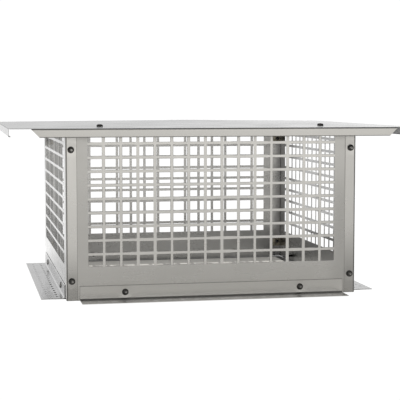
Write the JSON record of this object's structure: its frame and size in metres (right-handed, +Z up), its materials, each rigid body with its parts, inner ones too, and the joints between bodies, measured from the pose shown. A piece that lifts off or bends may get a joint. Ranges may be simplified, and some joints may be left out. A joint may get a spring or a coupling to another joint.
{
  "type": "chimney cap",
  "caption": "Square chimney cap with punched grille walls, a wide cross-creased lid above them and a flat flange along each foot.",
  "frame": {"origin": "middle of the footprint on the roof surface, level with the underside of the base flanges", "axes": "+Z up through the lid, +X along the front to the right, +Y from the front wall to the back wall, front at -Y"},
  "size_m": [0.592, 0.516, 0.2554],
  "materials": {
    "lid_sheet": "satin mill finish stainless sheet, soft blurred reflections",
    "wall_sheet": "satin mill finish stainless sheet with punched openings",
    "flange_sheet": "satin mill finish stainless sheet",
    "screw_steel": "dark coated steel screws, glossy",
    "spring_steel": "dark phosphate coated spring steel, matte"
  },
  "bodies": {
    "root": {"lid": "lid_sheet", "front_panel": "wall_sheet", "back_panel": "wall_sheet", "left_panel": "wall_sheet", "right_panel": "wall_sheet", "front_base_flange": "flange_sheet", "back_base_flange": "flange_sheet", "left_base_flange": "flange_sheet", "right_base_flange": "flange_sheet", "lid_screws": "screw_steel", "front_base_screws": "screw_steel", "back_base_screws": "screw_steel", "left_base_screws": "screw_steel", "right_base_screws": "screw_steel", "front_left_corner_screws": "screw_steel", "front_right_corner_screws": "screw_steel", "back_left_corner_screws": "screw_steel", "back_right_corner_screws": "screw_steel", "front_left_corner_nuts": "spring_steel", "front_right_corner_nuts": "spring_steel", "back_left_corner_nuts": "spring_steel", "back_right_corner_nuts": "spring_steel"}
  },
  "joints": []
}
